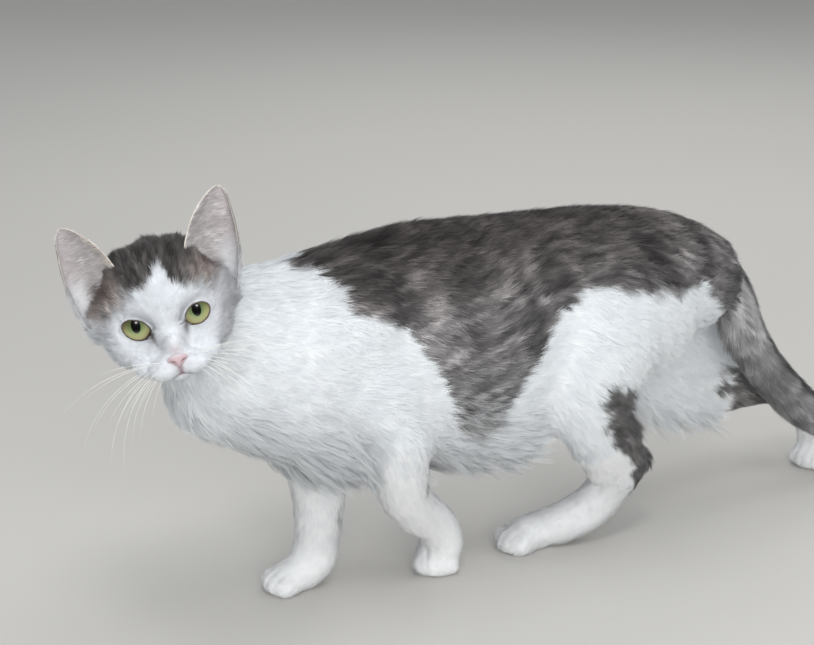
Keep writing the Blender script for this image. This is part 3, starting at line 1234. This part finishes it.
IRIS_RADIUS = 0.0083
eye_material, shader, nodes = new_material("eye", 0.28, Coat_Weight=1.0, Coat_Roughness=0.02, IOR=1.38)
gaze_place = nodes.out("ShaderNodeUVMap", {"uv_map": "gaze"})
split = nodes.node("ShaderNodeSeparateXYZ", Vector=gaze_place)
gx, gy = Shade(nodes.tree, split.outputs[0]), Shade(nodes.tree, split.outputs[1])
across_iris = (gx * gx + gy * gy) ** 0.5
angle = nodes.maths("ARCTAN2", gy, gx)
spoke = nodes.out("ShaderNodeCombineXYZ", _0=angle * 5.0, _1=across_iris * 1.5)
fibres = nodes.out("ShaderNodeTexNoise", Vector=spoke, Scale=3.0, Detail=4.0, Roughness=0.6)
iris = across_iris.ramp(
    (0.0, (0.10, 0.21, 0.10)),
    (0.38, (0.14, 0.23, 0.095)),
    (0.62, (0.34, 0.36, 0.15)),
    (0.90, (0.40, 0.36, 0.18)),
)
iris = iris.tint((fibres - 0.35) * 0.9, (0.42, 0.42, 0.20, 1))
iris = iris.tint(gy.step(-0.45, 0.45) * 0.85, (0.050, 0.052, 0.018, 1))
iris = iris.tint(across_iris.step(0.84, 1.00), (0.030, 0.022, 0.016, 1))
pupil_reach = ((gx / 0.30) ** 2.0 + (gy / 0.47) ** 2.0) ** 0.5
iris = iris.tint(1.0 - pupil_reach.step(0.90, 1.06), (0.004, 0.004, 0.004, 1))
feed(shader, "Base Color", iris)
for side, word in ((1, "left"), (-1, "right")):
    bpy.ops.mesh.primitive_uv_sphere_add(segments=64, ring_count=40, radius=1)
    eye = bpy.context.object
    eye.name = "eyeball_" + word
    centre = eye_middles[side]
    gaze = (CAMERA_PLACE - centre).normalized()
    gaze = (Quaternion(head_x, math.radians(-9)) @ gaze).normalized()
    sideways = (head_x - gaze * head_x.dot(gaze)).normalized()
    upward = gaze.cross(sideways) if gaze.cross(sideways).dot(head_z) > 0 else -gaze.cross(sideways)
    shape = points_of(eye)
    flat = np.hypot(shape[:, 0], shape[:, 1]) / (IRIS_RADIUS / EYE_RADIUS)
    bulge = np.where(shape[:, 2] > 0, np.clip(1 - flat ** 2, 0, 1), 0) * 0.0007
    radius = EYE_RADIUS + bulge
    world = (np.outer(shape[:, 0], sideways) + np.outer(shape[:, 1], upward) + np.outer(shape[:, 2], gaze))
    set_points(eye, np.array(centre) + world * radius[:, None])
    front = shape[:, 2] > 0
    gaze_uv = np.where(front[:, None], shape[:, :2] * (EYE_RADIUS / IRIS_RADIUS), 3.0)
    while eye.data.uv_layers:
        eye.data.uv_layers.remove(eye.data.uv_layers[0])
    layer = eye.data.uv_layers.new(name="gaze")
    index = np.empty(len(eye.data.loops), np.int32)
    eye.data.loops.foreach_get("vertex_index", index)
    layer.data.foreach_set("uv", gaze_uv[index].astype(np.float32).ravel())
    builder = bmesh.new()
    builder.from_mesh(eye.data)
    bmesh.ops.recalc_face_normals(builder, faces=builder.faces)
    builder.to_mesh(eye.data)
    builder.free()
    shade_smooth(eye)
    eye.data.materials.clear()
    eye.data.materials.append(eye_material)
    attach(eye, "root")
    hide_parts("eye_" + word)

# The dark moist edges of the lids: each is a thin rounded rim on the ball, its inner corner drawn down.
rim_material, shader, nodes = new_material("lid_edge", 0.35)
rim_patch = nodes.noise(400.0, Detail=2.0)
feed(shader, "Base Color", rim_patch.ramp((0.3, (0.045, 0.031, 0.027)), (0.7, (0.11, 0.075, 0.065))))
RIM_RADIUS = 0.00029
RIM_POINTS = 72
RIM_SIDES = 8
for side, word in ((1, "left"), (-1, "right")):
    centre = np.array((side * EYE_ASIDE, EYE_SET_BACK, 0.0))
    lid_wide, lid_high, lid_slant = LIDS[side]
    path = []
    for k in range(RIM_POINTS):
        turn = math.tau * k / RIM_POINTS
        a = abs(math.cos(turn))
        b = abs(math.sin(turn))
        scale = (a ** LID_CURVE + b ** LID_CURVE) ** (-1 / LID_CURVE)
        along_lid = lid_wide / 2 * scale * math.cos(turn)
        up_lid = lid_high / 2 * scale * math.sin(turn)
        if math.cos(turn) < 0:
            drawn = (-math.cos(turn)) ** 8
            along_lid -= 0.0007 * drawn
            up_lid -= 0.0007 * drawn
        x = along_lid * math.cos(lid_slant) - up_lid * math.sin(lid_slant)
        z = along_lid * math.sin(lid_slant) + up_lid * math.cos(lid_slant)
        ball = math.sqrt(max((EYE_RADIUS + 0.00045) ** 2 - x * x - z * z, 0))
        path.append(centre + np.array((side * x, -ball, z)))
    path = np.array(path)
    builder = bmesh.new()
    rings = []
    for k in range(RIM_POINTS):
        ahead = Vector(path[(k + 1) % RIM_POINTS] - path[k - 1]).normalized()
        outward = Vector(path[k] - centre).normalized()
        sideways = ahead.cross(outward).normalized()
        ring = []
        for t in (math.tau * j / RIM_SIDES for j in range(RIM_SIDES)):
            spot = Vector(path[k]) + outward * (RIM_RADIUS * math.sin(t))
            spot = spot + sideways * (1.25 * RIM_RADIUS * math.cos(t))
            ring.append(builder.verts.new(HEAD @ spot))
        rings.append(ring)
    for k, ring in enumerate(rings):
        after = rings[(k + 1) % RIM_POINTS]
        for j in range(RIM_SIDES):
            builder.faces.new((ring[j - 1], ring[j], after[j], after[j - 1]))
    bmesh.ops.recalc_face_normals(builder, faces=builder.faces)
    rim_piece = object_of(builder, "lid_edge_" + word)
    shade_smooth(rim_piece)
    rim_piece.data.materials.append(rim_material)
    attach(rim_piece, "root")

# ---------------------------------------------------------------- the nose
# A small pad of bare pink leather, wide above and narrowing to the lip's groove, with a nostril each side.

bpy.ops.mesh.primitive_ico_sphere_add(subdivisions=5, radius=1)
nose = bpy.context.object
nose.name = "nose_pad"
shape = points_of(nose)
x, y, z = shape.T


def nostril(side):
    """1 in a nostril: a slit low on the pad that runs out and up to its edge."""
    across = side * x
    slit = np.exp(-(((across - 0.66) / 0.24) ** 2 + ((z + 0.38 + 0.8 * (0.65 - across)) / 0.12) ** 2))
    return slit * (y < 0)


holes = np.maximum(nostril(-1), nostril(1))
taper = 1 - 0.62 * ease(-z, -0.15, 1.0)
place_nose = np.stack([0.0060 * x * taper, 0.0041 * y, 0.0042 * z], 1)
dents = 0.0030 * ease(z, 0.10, 0.90) + 0.0011 * holes
place_nose[:, 1] += dents + 0.0005 * bell(x, 0.11) * (z < 0.2) * (y < 0)
nose_turn = Euler((math.radians(-24), 0, 0)).to_matrix()
set_points(nose, from_head(place_nose @ np.array(nose_turn).T + np.array((0, -0.0203, -0.0199))))
upper = np.maximum(ease(z - 0.25 * np.abs(x), -0.20, 0.50), 0.6 * ease(np.abs(x), 0.70, 1.0))[:, None]
nose_colour = np.array((0.57, 0.415, 0.44)) * (1 - upper) + np.array((0.74, 0.69, 0.72)) * upper
nose_colour = towards(nose_colour, (0.24, 0.12, 0.135), np.clip(1.15 * holes, 0, 1))
store_colour(nose.data, "leather", nose_colour)
nose_material, shader, nodes = new_material("nose_leather", 0.58, Coat_Weight=0.10, Coat_Roughness=0.3)
leather = nodes.out("ShaderNodeAttribute", {"attribute_name": "leather"})
pebbles = nodes.out("ShaderNodeTexVoronoi", Vector=nodes.out("ShaderNodeTexCoord", output=3), Scale=2600.0)
leather = leather.tint(pebbles * 0.15, (0.70, 0.60, 0.61, 1))
feed(shader, "Base Color", leather)
feed(shader, "Normal", nodes.out("ShaderNodeBump", Height=pebbles, Strength=0.3, Distance=0.0003))
shade_smooth(nose)
nose.data.materials.append(nose_material)
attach(nose, "root")
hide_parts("nose")

# ---------------------------------------------------------------- the whiskers
# Stiff white hairs that curve back and down from the sides of the muzzle, and a few finer ones over the eyes.


def add_whisker(builder, start, way, droop, long, thick, segments=9, sides=5):
    """One hair: a tube that bends by its droop and tapers to a point."""
    rings = []
    spot = Vector(start)
    heading = Vector(way).normalized()
    step = long / segments
    for k in range(segments + 1):
        across = heading.orthogonal().normalized()
        beyond = heading.cross(across)
        radius = thick * (1 - 0.88 * k / segments)
        rings.append([
            builder.verts.new(spot + across * (radius * math.cos(t)) + beyond * (radius * math.sin(t)))
            for t in (math.tau * j / sides for j in range(sides))
        ])
        spot = spot + heading * step
        heading = (heading + Vector(droop) * (step * (0.6 + 0.8 * k / segments))).normalized()
    for first, second in zip(rings, rings[1:]):
        for j in range(sides):
            builder.faces.new((first[j - 1], first[j], second[j], second[j - 1]))
    builder.faces.new(rings[0])
    builder.faces.new(rings[-1])


rng = np.random.default_rng(77)
builder = bmesh.new()
down = HEAD.to_3x3() @ Vector((0, 0.25, -1))
for side in (-1, 1):
    for row in range(4):
        for column in range(4):
            if row == 0 and column == 3:
                continue
            root = Vector(whisker_root(side, row, column))
            way = Vector((side * (0.85 + 0.10 * column), -0.10 + 0.34 * column / 3, 0.05 - 0.36 * row))
            way += Vector(rng.normal(0, 0.07, 3))
            long = 0.036 + 0.010 * column + rng.uniform(-0.004, 0.004) - 0.004 * row
            bend = down * (15 + 5 * row)
            add_whisker(builder, HEAD @ root, HEAD.to_3x3() @ way, bend, long, 0.00017)
    for k in range(3):
        root = Vector((side * (0.0140 + 0.0020 * k), -0.0058 + 0.0008 * k, 0.0115 + 0.0006 * (k % 2)))
        way = Vector((side * (0.25 + 0.22 * k), -0.35, 1.0)) + Vector(rng.normal(0, 0.08, 3))
        bend = HEAD.to_3x3() @ Vector((side * 8, 22, 0))
        add_whisker(builder, HEAD @ root, HEAD.to_3x3() @ way, bend, 0.015 + 0.002 * k, 0.00005)
bmesh.ops.recalc_face_normals(builder, faces=builder.faces)
whiskers = object_of(builder, "whiskers")
whisker_material, shader, nodes = new_material("whisker", 0.30)
horn = nodes.noise(300.0)
feed(shader, "Base Color", horn.ramp((0.3, (0.80, 0.79, 0.76)), (0.7, (0.90, 0.90, 0.88))))
whiskers.data.materials.append(whisker_material)
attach(whiskers, "root")
